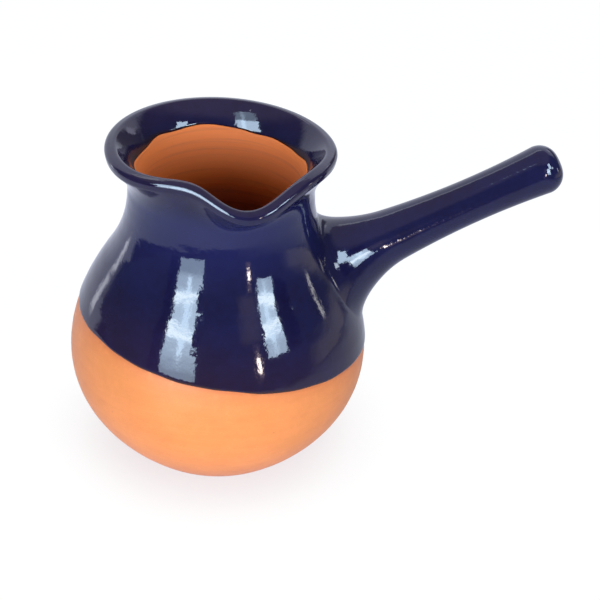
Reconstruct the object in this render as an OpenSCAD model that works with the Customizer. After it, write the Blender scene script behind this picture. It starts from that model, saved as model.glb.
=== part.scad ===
// Hand-thrown clay coffee pot with a pinched pouring lip and a hollow stick handle.
// Millimetres. The pot stands on z = 0, the handle points along +X and the spout along -Y.

/* [Body] */
// Finished height of the lip at the back, glaze included
height = 112; // [102:0.5:124]
// Diameter of the flat foot
foot_d = 60.4; // [50:0.2:70]
// Lean of the wall at the foot, from upright
foot_lean = 51; // [42:1:58]
// Largest diameter of the belly
belly_d = 101.6; // [94:0.2:112]
// Height of the belly's widest ring
belly_z = 36.3; // [31:0.1:42]
// Diameter of the shoulder, half way up to the neck
shoulder_d = 77; // [70:0.2:84]
// Height of the shoulder
shoulder_z = 71; // [65:0.5:77]
// Lean of the shoulder, from upright
shoulder_lean = 33; // [26:1:40]
// Diameter of the neck at its narrowest
neck_d = 61.2; // [54:0.2:66]
// Height of the narrowest ring
neck_z = 97; // [92:0.5:100]

/* [Lip and spout] */
// Diameter over the rolled lip
rim_d = 75.4; // [70:0.2:84]
// Lean of the flared wall at the lip, from upright
rim_lean = 50; // [36:1:58]
// Thickness of the rolled lip
lip_t = 4.2; // [3:0.1:5.4]
// How much higher the lip is on the side away from the handle, and lower next to it
lip_tilt = 1; // [0:0.1:2]
// Way that the spout points, seen from above
spout_turn = -87; // [-110:1:-70]
// Height at which the spout starts to leave the neck
spout_z = 92; // [82:1:96]
// How far the spout's tip is pulled out
spout_reach = 4.6; // [0:0.1:8]
// How far the tip is pushed down
spout_drop = 5.1; // [0:0.1:6]
// Angle from the spout's middle to its shoulder
spout_half = 21; // [12:0.5:25]
// How far the lip is pinched in on the side away from the handle
far_pinch = 6; // [0:0.1:7]
// Angle from the spout to that pinch
far_pinch_turn = 22.5; // [18:0.5:42]
// How far the lip is pinched in on the side next to the handle
near_pinch = 1.6; // [0:0.1:5]
// Angle from the spout to that pinch
near_pinch_turn = 47; // [40:1:62]
// Half width of the two pinches, as an angle
pinch_half = 30.5; // [16:0.5:34]
// How far the lip rises where it is pinched
pinch_rise = 1.8; // [0:0.1:2.5]

/* [Walls] */
// Thickness of the thrown wall
wall_t = 3.6; // [3:0.1:6]
// Thickness of the floor
floor_t = 6; // [4:0.1:9]
// Diameter of the flat part of the floor, inside
floor_d = 50; // [40:1:58]
// Lean of the inside wall at the floor, from upright
floor_lean = 68; // [55:1:72]

/* [Handle] */
// Height at which the handle's axis crosses the pot's axis
handle_z = 48.5; // [45:0.5:52]
// Rise of the handle, from level
handle_tilt = 24.5; // [18:0.1:30]
// Length of the handle from the belly wall to its end
handle_len = 81; // [70:0.5:100]
// Diameter of the bell-shaped root on the wall
root_d = 36.2; // [30:0.2:40]
// How much less the root spreads above the axis than below it
root_sink = 2.4; // [0:0.1:4]
// Length of the flare from the root to the shaft
flare_len = 20.5; // [15:0.5:30]
// Diameter at the waist
waist_d = 14.2; // [12:0.1:18]
// Distance from the wall to the waist
waist_at = 51.5; // [44:0.5:58]
// Diameter near the closed end
end_d = 17.2; // [14:0.1:20]
// Rounding of the closed end
end_round = 6.2; // [3:0.1:6.4]
// Wall of the hollow handle
handle_wall = 4; // [3:0.1:4.8]
// Thickness of clay that closes the end
end_wall = 9; // [6:0.5:14]
// Thickness of the slip that joins the handle to the belly
slip_t = 0.8; // [0.5:0.1:1.5]

/* [Glaze] */
// Thickness of the blue glaze
glaze_t = 0.4; // [0.3:0.05:0.8]
// Thickness of the clear glaze inside
liner_t = 0.3; // [0.2:0.05:0.6]
// Height of the dip line, midway between its high and low points
dip_z = 47.1; // [42:0.1:52]
// How far the dip line falls and rises from there round the belly
dip_fall = 6.7; // [0:0.1:9]
// Way from the middle to the dip line's lowest point, seen from above
dip_turn = 11; // [-20:1:40]
// Height of the blue glaze's edge inside
band_z = 104.4; // [98.5:0.1:105.5]
// How much that edge rises and falls round the mouth
band_wave = 0.8; // [0:0.1:1.5]
// Way from the middle to the edge's highest point, seen from above
band_turn = 110; // [60:1:150]

/* [Hidden] */

clay_color = "#d98a4e";
slip_color = "#c67a42";
blue_color = "#1c1f4a";
liner_color = "#a8582e";

// Sides of the body and of the handle, how far the body's sides crowd towards the spout,
// and the rows of each stretch of the two skins
body_sides = 56;
handle_sides = 32;
bar_sides = 96;
crowd = 12;
low_rows = 8;
up_rows = 11;
lip_rows = 6;
band_rows = 2;
in_rows = 10;
shaft_rows = 11;
round_rows = 3;
bore_rows = 8;

// Clay below the foot that the wire cuts away
cut_spare = 1;

// Middle of the rolled lip, and the points where the wall runs into it outside and inside
lip_z = height - glaze_t - lip_t / 2;
lip_r = rim_d / 2 - lip_t / 2;
lip_out = [lip_r + lip_t / 2 * cos(rim_lean), lip_z - lip_t / 2 * sin(rim_lean)];
lip_in = [lip_r - lip_t / 2 * cos(rim_lean), lip_z + lip_t / 2 * sin(rim_lean)];

// Stations of the wall, outside and inside: height, radius, and radius gained per height
outer = [
    [0, foot_d / 2, tan(foot_lean)],
    [belly_z, belly_d / 2, 0],
    [shoulder_z, shoulder_d / 2, -tan(shoulder_lean)],
    [neck_z, neck_d / 2, 0],
    [lip_out[1], lip_out[0], tan(rim_lean)]
];
inner = [
    [floor_t, floor_d / 2, tan(floor_lean)],
    [belly_z, belly_d / 2 - wall_t, 0],
    [shoulder_z, shoulder_d / 2 - wall_t, -tan(shoulder_lean)],
    [neck_z, neck_d / 2 - wall_t, 0],
    [lip_in[1], lip_in[0], tan(rim_lean)]
];

// Rows of the body's skin, counted up the outside, over the lip and down the inside
dip_row = low_rows;
lip_row = dip_row + up_rows;
in_row = lip_row + lip_rows;
band_row = in_row + band_rows;
last_row = band_row + in_rows;

// Rows of the handle's skin, counted from the belly wall to the end
round_row = shaft_rows;
end_row = round_row + round_rows;

function mix(a, b, t) = a + (b - a) * t;
function bell(x) = exp(-x * x);
function smooth(t) = let (u = max(0, min(1, t))) u * u * (3 - 2 * u);
function turn(a) = a - 360 * round(a / 360);
function unit(v) = v / norm(v);

// Radius at height z on the cubic between two stations
function between(p, q, z) =
    let (h = q[0] - p[0], t = (z - p[0]) / h, u = 1 - t)
    u * u * (1 + 2 * t) * p[1] + t * u * u * h * p[2] + t * t * (3 - 2 * t) * q[1] - t * t * u * h * q[2];

// Radius at height z on the curve through a list of stations
function along(stations, z, k = 0) =
    k + 2 >= len(stations) || z <= stations[k + 1][0]
        ? between(stations[k], stations[k + 1], z)
        : along(stations, z, k + 1);

// Heights of the dip line outside and of the blue edge inside, at an angle
function dip_at(a) = dip_z - dip_fall * cos(a - dip_turn);
function band_at(a) = band_z + band_wave * cos(a - band_turn);

// Radius and height of a row of the round pot, before the spout is pulled
function round_skin(i, a) =
    i <= dip_row ? let (z = mix(-cut_spare, dip_at(a), i / low_rows)) [along(outer, z), z] :
    i <= lip_row ? let (z = mix(dip_at(a), lip_out[1], (i - dip_row) / up_rows)) [along(outer, z), z] :
    i <= in_row ? let (b = 180 * (i - lip_row) / lip_rows - rim_lean)
        [lip_r + lip_t / 2 * cos(b), lip_z + lip_t / 2 * sin(b)] :
    i <= band_row ? let (z = mix(lip_in[1], band_at(a), (i - in_row) / band_rows)) [along(inner, z), z] :
    i <= last_row ? let (z = mix(band_at(a), floor_t, sin(90 * (i - band_row) / in_rows))) [along(inner, z), z] :
    [floor_d / 4, floor_t];

// Shift of a point of the wall, outwards and up, where the lip tilts and fingers pull the spout
function pull(a, z) =
    let (
        p = turn(a - spout_turn),
        tip = bell(p / spout_half),
        far = bell((p + far_pinch_turn) / pinch_half),
        near = bell((p - near_pinch_turn) / pinch_half)
    )
    smooth((z - spout_z) / (lip_z - spout_z)) * [
        spout_reach * tip - far_pinch * far - near_pinch * near,
        pinch_rise * (far + near) - spout_drop * tip - lip_tilt * cos(a)
    ];

// Point of the pot's skin on a row, at an angle
function skin(i, a) =
    let (q = round_skin(i, a), d = pull(a, q[1]), r = q[0] + d[0])
    [r * cos(a), r * sin(a), q[1] + d[1]];

// Point that lies a thickness above the skin
function skin_over(i, a, t) =
    skin(i, a) + t * unit(cross(skin(i, a + 1) - skin(i, a - 1), skin(i + 1, a) - skin(i - 1, a)));

// Angles round the body, closer together at the spout
body_angles = [for (j = [0 : body_sides - 1]) let (t = 360 * j / body_sides) spout_turn + t - crowd * sin(t)];

function skin_ring(i) = [for (a = body_angles) skin(i, a)];
function over_ring(i, t) = [for (a = body_angles) skin_over(i, a, t)];

// Point beside the handle's axis: way along it, angle round it, distance from it
function beside(s, b, r) = [
    s * cos(handle_tilt) - r * cos(b) * sin(handle_tilt),
    -r * sin(b),
    handle_z + s * sin(handle_tilt) + r * cos(b) * cos(handle_tilt)
];

// Way along the axis at which a line beside it leaves the belly wall, or a layer on the wall
function seat(b, r, layer, low = 0, high = belly_d, tries = 26) =
    let (s = (low + high) / 2, q = beside(s, b, r))
    tries == 0 ? s :
    norm([q[0], q[1]]) < along(outer, q[2]) + layer
        ? seat(b, r, layer, s, high, tries - 1)
        : seat(b, r, layer, low, s, tries - 1);

root_r = root_d / 2;

// Distance from the axis to the root's edge, at an angle round the handle
function root_at(b) = root_r - root_sink * (1 + cos(b)) / 2;

wall_s = seat(0, 0, 0);
end_s = wall_s + handle_len;
round_s = end_s - end_round;

// Radius of the handle: a shaft with a waist, and a flare that opens on to the wall
function shaft(s) = waist_d / 2 + (end_d - waist_d) / 2 * pow((s - wall_s - waist_at) / (handle_len - waist_at), 2);
function handle_r(s, s0, b) =
    shaft(s) + (root_at(b) - shaft(s0)) * pow(max(0, 1 - (s - s0) / flare_len), 2);

// Point of the handle's skin on a row, at an angle
function handle_skin(i, b) =
    let (s0 = seat(b, root_at(b), slip_t))
    i < 1 ? beside(seat(b, root_at(b), 0), b, root_at(b)) :
    i <= round_row ? let (s = mix(s0, round_s, pow((i - 1) / (shaft_rows - 1), 1.5))) beside(s, b, handle_r(s, s0, b)) :
    let (c = 90 * (i - round_row) / round_rows)
    beside(round_s + end_round * sin(c), b, shaft(round_s) - end_round * (1 - cos(c)));

// Point of the hollow inside the handle, on rows from its closed end to the root
function bore_skin(i, b) =
    let (
        s0 = seat(b, root_at(b), slip_t),
        s1 = seat(b, root_at(b) - handle_wall, slip_t),
        s = mix(s1, end_s - end_wall, pow(1 - i / bore_rows, 1.5))
    )
    beside(s, b, handle_r(s - s1 + s0, s0, b) - handle_wall);

// Point of the glaze over the handle's skin
function handle_over(i, b) =
    i < 1 ? beside(seat(b, root_at(b) + glaze_t, 0), b, root_at(b) + glaze_t) :
    i == end_row ? handle_skin(i, b) + glaze_t * [cos(handle_tilt), 0, sin(handle_tilt)] :
    handle_skin(i, b) + glaze_t * unit(cross(handle_skin(i, b + 1) - handle_skin(i, b - 1),
                                             handle_skin(i + 1, b) - handle_skin(i - 1, b)));

function handle_ring(i) = [for (j = [0 : handle_sides - 1]) handle_skin(i, 360 * j / handle_sides)];
function bore_ring(i) = [for (j = [0 : handle_sides - 1]) bore_skin(i, 360 * j / handle_sides)];
function handle_over_ring(i) = [for (j = [0 : handle_sides - 1]) handle_over(i, 360 * j / handle_sides)];
function seat_ring(inset, layer) = [
    for (j = [0 : handle_sides - 1]) let (b = 360 * j / handle_sides, r = root_at(b) - inset)
        beside(seat(b, r, layer), b, r)
];

// Triangles between two rings of a loft. A strip that runs back over a skin crosses its squares the other way,
// so that its triangles lie on the skin's own.
function strip(n, first, second, back) = [
    for (j = [0 : n - 1]) let (a = first * n + j, b = first * n + (j + 1) % n,
                               c = second * n + (j + 1) % n, d = second * n + j)
        each back ? [[a, d, b], [b, d, c]] : [[a, d, c], [a, c, b]]
];

// Solid through rings, with a flat cap on the first and the last. The first strips may run back over a skin.
module capped_loft(rings, back_strips = 0) {
    n = len(rings[0]);
    m = len(rings);
    polyhedron(
        points = [for (ring = rings) each ring],
        faces = concat(
            [for (i = [0 : m - 2]) each strip(n, i, i + 1, i < back_strips)],
            [[for (j = [0 : n - 1]) j]],
            [[for (j = [n - 1 : -1 : 0]) (m - 1) * n + j]]
        )
    );
}

// Solid through rings that close on themselves
module closed_loft(rings, back_strips) {
    n = len(rings[0]);
    m = len(rings);
    polyhedron(
        points = [for (ring = rings) each ring],
        faces = [for (i = [0 : m - 1]) each strip(n, i, (i + 1) % m, i < back_strips)]
    );
}

// Coat of glaze over some rows of the pot's skin, open at both ends
module skin_coat(first, last, t) {
    closed_loft(concat(
        [for (i = [last : -1 : first]) skin_ring(i)],
        [for (i = [first : last]) over_ring(i, t)]
    ), last - first);
}

// Bar along the handle's axis, through the belly wall, that stands out beyond the root's edge
module root_bar(beyond) {
    translate([0, 0, handle_z]) rotate([0, 90 - handle_tilt, 0])
        translate([0, 0, wall_s / 2]) linear_extrude(height = wall_s)
            polygon([for (j = [0 : bar_sides - 1]) let (b = 360 * j / bar_sides)
                -(root_at(b) + beyond) * [cos(b), sin(b)]]);
}

// Thrown body, cut off the wheel flat with a wire
module clay_body() {
    color(clay_color) difference() {
        capped_loft([for (i = [0 : last_row]) skin_ring(i)]);
        translate([0, 0, -3 * cut_spare]) cylinder(h = 3 * cut_spare, d = belly_d, $fn = 96);
    }
}

// Hollow handle, cut to a saddle that follows the belly
module clay_handle() {
    color(clay_color) capped_loft(concat(
        [for (i = [0 : bore_rows]) bore_ring(i)],
        [for (i = [1 : end_row]) handle_ring(i)]
    ));
}

// Ring of slip between the handle's saddle and the belly
module luting_slip() {
    color(slip_color) closed_loft([
        seat_ring(0, 0),
        seat_ring(0, slip_t),
        seat_ring(handle_wall, slip_t),
        seat_ring(handle_wall, 0)
    ], 2);
}

// Blue glaze from the dip line over the lip, open where the handle is joined on
module body_glaze() {
    color(blue_color) difference() {
        skin_coat(dip_row, band_row, glaze_t);
        root_bar(glaze_t);
    }
}

// Blue glaze over the handle, down to the belly wall
module handle_glaze() {
    color(blue_color) capped_loft(concat(
        [for (i = [end_row : -1 : 0]) handle_ring(i)],
        [for (i = [0 : end_row]) handle_over_ring(i)]
    ), end_row);
}

// Clear glaze inside, from the blue edge down over the floor
module liner_glaze() {
    color(liner_color) capped_loft(concat(
        [for (i = [last_row : -1 : band_row]) skin_ring(i)],
        [for (i = [band_row : last_row]) over_ring(i, liner_t)]
    ), last_row - band_row);
}

clay_body();
clay_handle();
luting_slip();
body_glaze();
handle_glaze();
liner_glaze();
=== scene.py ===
"""Clay coffee pot: the glazed and bare surfaces of a hand-thrown pot, built over its solids."""

import math

import bpy
import numpy as np
from mathutils import Matrix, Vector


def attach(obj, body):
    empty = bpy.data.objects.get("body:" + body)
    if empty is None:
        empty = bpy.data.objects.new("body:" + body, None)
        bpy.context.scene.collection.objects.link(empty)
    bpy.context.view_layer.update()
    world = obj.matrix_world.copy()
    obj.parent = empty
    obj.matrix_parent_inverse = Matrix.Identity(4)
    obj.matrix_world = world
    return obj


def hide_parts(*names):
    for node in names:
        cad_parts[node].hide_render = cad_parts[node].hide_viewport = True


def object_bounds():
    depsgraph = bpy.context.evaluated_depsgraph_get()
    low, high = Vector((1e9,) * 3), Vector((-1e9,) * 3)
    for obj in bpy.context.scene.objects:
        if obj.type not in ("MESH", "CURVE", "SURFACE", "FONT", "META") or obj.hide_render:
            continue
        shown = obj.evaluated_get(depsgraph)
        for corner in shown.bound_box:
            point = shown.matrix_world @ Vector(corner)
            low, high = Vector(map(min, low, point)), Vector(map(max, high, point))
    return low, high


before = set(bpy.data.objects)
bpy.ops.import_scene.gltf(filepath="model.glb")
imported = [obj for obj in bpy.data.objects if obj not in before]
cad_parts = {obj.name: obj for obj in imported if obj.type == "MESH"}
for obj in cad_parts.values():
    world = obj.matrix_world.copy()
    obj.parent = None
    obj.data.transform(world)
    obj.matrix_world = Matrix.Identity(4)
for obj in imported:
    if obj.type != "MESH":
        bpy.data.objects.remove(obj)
SOLID_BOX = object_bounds()

bl_info = {
    "name": "Clay coffee pot",
    "version": (1, 0, 0),
    "blender": (4, 5, 0),
    "location": "View3D > Sidebar > Clay pot",
    "description": "Makes a hand-thrown coffee pot with a dipped blue glaze, and the stage for it",
    "category": "Object",
}

MILLIMETRE = 0.001
TURN = 2 * math.pi

# Small ways round and along a surface over which its slope is taken
NEAR_TURN = 0.01
NEAR_ROW = 0.004

# Halvings that find where a line beside the handle leaves the belly
HALVINGS = 40

# Power by which the handle's rows crowd towards its root
CROWDING = 1.5

# Least and greatest share of the rim's lean where the lip is pinched in or pulled out
LEAN_SHARES = 0.3, 1.6

# Share of the lip's roll over which its edge comes in, and the corners of a square section
LIP_FADE = 0.2
CORNERS = 4

# Share of the lip's tilt that the glaze's edge inside follows
BAND_TILT = 0.8

# Share of the places where there is a speck or a pinhole, and sizes between which it fades out, as shares
# of the way from one place to the next
SPECK_SHARE = 0.12
SPECK_SIZES = 0.04, 0.13
PINHOLE_SHARE = 0.1
PINHOLE_SIZES = 0.02, 0.055

# Least and greatest roughness, and how much rougher a matt place is
CLAY_ROUGH = 0.38, 0.48
SLIP_ROUGH = 0.7, 0.85
GLAZE_ROUGH = 0.045, 0.075
LINER_ROUGH = 0.16, 0.26
MATT = 0.6

# Heights over the neck up to which the glaze is painted lighter, as painted light, and from which it is
# rubbed thin
NECK_LIT_OVER = 8 * MILLIMETRE
RUB_OVER = 5 * MILLIMETRE

# Height over the shoulder from which the liner turns matt, height over the belly down to which it darkens,
# and how far clouds shift that
MATT_OVER = 8 * MILLIMETRE
DEEP_OVER = 20 * MILLIMETRE
LINER_CLOUD = 6 * MILLIMETRE

# Where the back and the left side of the band inside begin and are fully reached, in metres from the axis
BACK_SIDE = 0.004, 0.024
LEFT_SIDE = 0.0, -0.025

# How strongly fired clay and glaze mirror
CLAY_IOR = 1.45
GLAZE_IOR = 1.52


# Kinds of size and colour that the panel holds

def length(name, millimetres, text):
    """A length that can be set in the panel."""
    return bpy.props.FloatProperty(
        name=name, description=text, default=millimetres * MILLIMETRE, precision=5,
        subtype="DISTANCE", unit="LENGTH",
    )


def angle(name, degrees, text):
    """An angle that can be set in the panel."""
    return bpy.props.FloatProperty(
        name=name, description=text, default=math.radians(degrees), subtype="ANGLE", unit="ROTATION"
    )


def level(name, value, text):
    """A plain number that can be set in the panel."""
    return bpy.props.FloatProperty(name=name, description=text, default=value)


def count(name, number, text):
    """A whole number that can be set in the panel."""
    return bpy.props.IntProperty(name=name, description=text, default=number, min=3)


def colour(name, red, green, blue, text):
    """A colour that can be set in the panel, as light and not as screen values."""
    return bpy.props.FloatVectorProperty(
        name=name, description=text, default=(red, green, blue, 1.0), size=4, min=0.0, max=1.0,
        subtype="COLOR",
    )


class PotBody(bpy.types.PropertyGroup):
    """Sizes of the thrown body"""

    height: length("Height", 112, "Height of the lip at the back, glaze included")
    foot_d: length("Foot", 60.4, "Diameter of the flat foot")
    foot_lean: angle("Foot lean", 51, "Lean of the wall at the foot, from upright")
    foot_edge: length("Foot edge", 1.3, "Width of the soft edge round the foot")
    belly_d: length("Belly", 101.6, "Largest diameter of the belly")
    belly_z: length("Belly height", 36.3, "Height of the belly's widest ring")
    shoulder_d: length("Shoulder", 77, "Diameter of the shoulder")
    shoulder_z: length("Shoulder height", 71, "Height of the shoulder")
    shoulder_lean: angle("Shoulder lean", 33, "Lean of the shoulder, from upright")
    neck_d: length("Neck", 61.2, "Diameter of the neck at its narrowest")
    neck_z: length("Neck height", 97, "Height of the narrowest ring")
    wall_t: length("Wall", 3.6, "Thickness of the thrown wall")
    floor_t: length("Floor", 6, "Thickness of the floor")
    floor_d: length("Floor width", 50, "Diameter of the flat part of the floor, inside")
    floor_lean: angle("Floor lean", 68, "Lean of the inside wall at the floor, from upright")
    ring_pitch: length("Throwing rings", 5.2, "Height from one throwing ring to the next")
    ring_depth: length("Ring depth", 0.035, "Depth of the throwing rings outside")
    ring_depth_in: length("Ring depth inside", 0.11, "Depth of the throwing rings inside")
    sway: length("Sway", 0.12, "How far the hand-thrown wall is out of round")
    sides: count("Sides", 208, "Sides of the body's rings")


class PotLip(bpy.types.PropertyGroup):
    """Sizes of the rolled lip and of the pouring spout"""

    rim_d: length("Rim", 75.4, "Diameter over the rolled lip")
    rim_lean: angle("Rim lean", 50, "Lean of the flared wall at the lip, from upright")
    lip_t: length("Lip", 4.2, "Thickness of the rolled lip")
    lip_edge: level("Lip edge", 0.07, "How square the rolled lip is, as a share of its half thickness")
    edge_turn: angle("Lip edge turn", 32, "Way that the lip's outer edge faces, up from level")
    lip_tilt: length("Lip tilt", 1, "How much higher the lip is away from the handle")
    spout_turn: angle("Spout turn", -87, "Way that the spout points, seen from above")
    spout_reach: length("Spout reach", 4.6, "How far the spout's tip is pulled out")
    spout_drop: length("Spout drop", 5.1, "How far the tip is pushed down")
    spout_half: angle("Spout half width", 21, "Angle from the spout's middle to its shoulder")
    far_pinch: length("Far pinch", 6, "How far the lip is pinched in away from the handle")
    far_pinch_turn: angle("Far pinch turn", 22.5, "Angle from the spout to that pinch")
    near_pinch: length("Near pinch", 1.6, "How far the lip is pinched in next to the handle")
    near_pinch_turn: angle("Near pinch turn", 47, "Angle from the spout to that pinch")
    pinch_half: angle("Pinch half width", 30.5, "Half width of the two pinches")
    pinch_rise: length("Pinch rise", 1.8, "How far the lip rises where it is pinched")


class PotHandle(bpy.types.PropertyGroup):
    """Sizes of the hollow stick handle"""

    handle_z: length("Handle height", 48.5, "Height at which the handle's axis crosses the pot's axis")
    handle_tilt: angle("Handle rise", 24.5, "Rise of the handle, from level")
    handle_len: length("Handle length", 81, "Length from the belly wall to the handle's end")
    root_d: length("Root", 36.2, "Diameter of the bell-shaped root on the wall")
    root_sink: length("Root sink", 2.4, "How much less the root spreads above the axis than below it")
    flare_len: length("Flare", 20.5, "Length of the flare from the root to the shaft")
    waist_d: length("Waist", 14.2, "Diameter at the waist")
    waist_at: length("Waist place", 51.5, "Distance from the wall to the waist")
    end_d: length("End", 17.2, "Diameter near the closed end")
    end_round: length("End rounding", 6.2, "Rounding of the closed end")
    handle_wall: length("Handle wall", 4, "Wall of the hollow handle")
    end_wall: length("End wall", 9, "Thickness of clay that closes the end")
    slip_t: length("Slip", 0.8, "Thickness of the slip that joins the handle on")
    pool_side: length("Pool at the sides", 3.6, "Width of the glaze pooled beside the root")
    pool_top: length("Pool above and below", 4.2, "Width of the glaze pooled above and below it")
    sides: count("Sides", 96, "Sides of the handle's rings")


class PotGlaze(bpy.types.PropertyGroup):
    """Sizes of the glaze coats"""

    glaze_t: length("Blue glaze", 0.4, "Thickness of the blue glaze")
    liner_t: length("Clear glaze", 0.3, "Thickness of the clear glaze inside")
    dip_z: length("Dip line", 47.1, "Height of the dip line, midway between its high and low points")
    dip_fall: length("Dip fall", 6.7, "How far the dip line falls and rises from there")
    dip_turn: angle("Dip turn", 11, "Way from the middle to the dip line's lowest point")
    band_z: length("Inside edge", 104.4, "Height of the blue glaze's edge inside")
    band_wave: length("Inside wave", 0.8, "How much that edge rises and falls")
    band_turn: angle("Inside turn", 110, "Way from the middle to that edge's highest point")
    edge_roll: length("Edge roll", 0.8, "Width over which the glaze rounds off at its edge")
    edge_ripple: length("Edge ripple", 0.14, "How far the edges of the glaze waver")
    keep_in: length("Keep in", 0.12, "How far the dressed surfaces stay inside the solids")


class PotColours(bpy.types.PropertyGroup):
    """Colours of the clay and the glazes"""

    clay: colour("Clay", 0.70, 0.25, 0.068, "Bare fired clay")
    clay_pale: colour("Pale clay", 0.80, 0.29, 0.092, "Clay where it was wiped smooth")
    clay_dark: colour("Dark clay", 0.60, 0.17, 0.055, "Clay that has soaked up glaze at the dip line")
    clay_speck: colour("Clay speck", 0.30, 0.10, 0.04, "Iron specks in the clay")
    slip: colour("Slip", 0.56, 0.22, 0.08, "Joining slip")
    navy: colour("Navy", 0.0095, 0.0105, 0.060, "Blue glaze at its usual thickness")
    navy_deep: colour("Deep navy", 0.007, 0.0065, 0.036, "Blue glaze where it lies thick")
    # Painted light: a lighter, bluer navy painted over the shoulder and neck
    navy_neck_lit: colour("Neck navy painted lighter", 0.012, 0.016, 0.088, "Blue glaze painted lighter over the neck, as painted light")
    glaze_thin: colour("Thin glaze", 0.034, 0.014, 0.012, "Blue glaze where it thins to its edge")
    glaze_edge: colour("Glaze edge", 0.016, 0.008, 0.010, "Blue glaze where it ends inside, brown-black")
    pinhole: colour("Pinhole", 0.30, 0.30, 0.38, "Rims of the pinholes in the blue glaze")
    liner: colour("Liner", 0.80, 0.215, 0.040, "Clay under the clear glaze")
    liner_deep: colour("Deep liner", 0.28, 0.075, 0.045, "Clay under the clear glaze, low in the pot")


class PotStage(bpy.types.PropertyGroup):
    """Camera, lamps and surroundings"""

    aim: bpy.props.FloatVectorProperty(
        name="Aim", description="Point in the middle of the picture", size=3, subtype="XYZ", unit="LENGTH",
        default=(0.027125, -0.005243, 0.054325), precision=5,
    )
    distance: length("Camera distance", 600, "Distance from the camera to that point")
    azimuth: angle("Camera azimuth", -10.94, "Way round the pot to the camera, from the spout")
    elevation: angle("Camera elevation", 32.36, "Height of the camera over the horizon")
    roll: angle("Camera roll", 2.86, "Roll of the camera")
    lens: level("Lens", 105.48, "Focal length in millimetres")
    floor_front: length("Floor in front", 360, "Reach of the pale floor in front of the pot")
    floor_back: length("Floor behind", 1800, "Reach of the pale floor behind the pot")
    shade_reach: length("Shade reach", 45, "How far from the pot its soft shade reaches on the floor")
    room_size: length("Room", 1600, "Distance from the pot to the dark side of the room")
    window_far: length("Windows", 400, "Distance from the pot to the two windows")
    window_level: level("Window level", 20.0, "Brightness of the windows in the glaze")
    world_level: level("World level", 0.33, "Light from all around")
    key_power: level("Key power", 9.2, "Power of the lamps beside the camera, in watts")
    top_power: level("Top power", 6.6, "Power of the lamp overhead, in watts")
    low_power: level("Low power", 0.035, "Power of the weak lamp near the floor in front, in watts")


# Curves of the pot

def mix(first, second, share):
    """Value part of the way from the first to the second."""
    return first + (second - first) * share


def bell(x):
    """Smooth hump that is 1 at 0."""
    return np.exp(-x * x)


def smooth(share):
    """Soft step from 0 to 1."""
    u = np.clip(share, 0.0, 1.0)
    return u * u * (3 - 2 * u)


def unit(vectors):
    """Vectors of length 1."""
    return vectors / np.linalg.norm(vectors, axis=-1, keepdims=True)


def way_round(a, start):
    """Angle from a start, the shorter way round."""
    p = a - start
    return p - TURN * np.round(p / TURN)


def ripple(a, waves):
    """Sum of some waves round the pot."""
    return sum(share * np.sin(number * a + shift) for number, shift, share in waves)


def arc(first, corner, last, share):
    """Place on a curve from the first to the last that is drawn towards a corner."""
    rest = 1 - share
    return rest ** 2 * first + 2 * share * rest * corner + share * share * last


def lifted(skin, row, ends, turn, thickness):
    """Points a thickness above a skin, on a row between its end rows, at some angles."""
    low, high = max(row - NEAR_ROW, ends[0]), min(row + NEAR_ROW, ends[1])
    round_way = skin(row, turn + NEAR_TURN) - skin(row, turn - NEAR_TURN)
    up_way = skin(high, turn) - skin(low, turn)
    return skin(row, turn) + thickness * unit(np.cross(round_way, up_way))


def bend(low, high, z):
    """Radius at height z on the smooth curve between two stations of height, radius and lean."""
    rise = high[0] - low[0]
    t = (z - low[0]) / rise
    u = 1 - t
    return (
        u * u * (1 + 2 * t) * low[1] + t * u * u * rise * low[2]
        + t * t * (3 - 2 * t) * high[1] - t * t * u * rise * high[2]
    )


def along(stations, z):
    """Radius at height z on the smooth curve through several stations."""
    radius = bend(stations[0], stations[1], z)
    for low, high in zip(stations[1:], stations[2:]):
        radius = np.where(z >= low[0], bend(low, high, z), radius)
    return radius


# Where the glaze inside ran down or stayed high: way round and half width in degrees, rise in millimetres
BAND_RUNS = ((21, 14, -0.5), (55, 32, -1.05), (100, 8, 0.35), (116, 12, -0.85), (153, 19, -1.9))

# Ripples of the dip line and of the glaze's edge inside: waves round the pot, shift and share of the ripple
DIP_WAVES = (7, 0.6, 1.0), (12, 2.1, 0.7), (23, 0.0, 0.5)
BAND_WAVES = (9, 1.1, 1.0), (17, 0.0, 0.6)

# How the wall is out of round: waves round the pot, shift, and twist in radians for each metre of height
SWAY_WAVES = (2, 0.9, 30), (3, 2.2, -45)

# How far the throwing rings wander up and down in one turn, in radians, and how often
RING_WANDER = 0.6
RING_WAVES = 3

# Stretches of the body's skin: up to the dip line, to the lip, over it, down to the band, to the floor
FOOT, DIP, LIP_OUT, LIP_IN, BAND, FLOOR = range(6)


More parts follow.
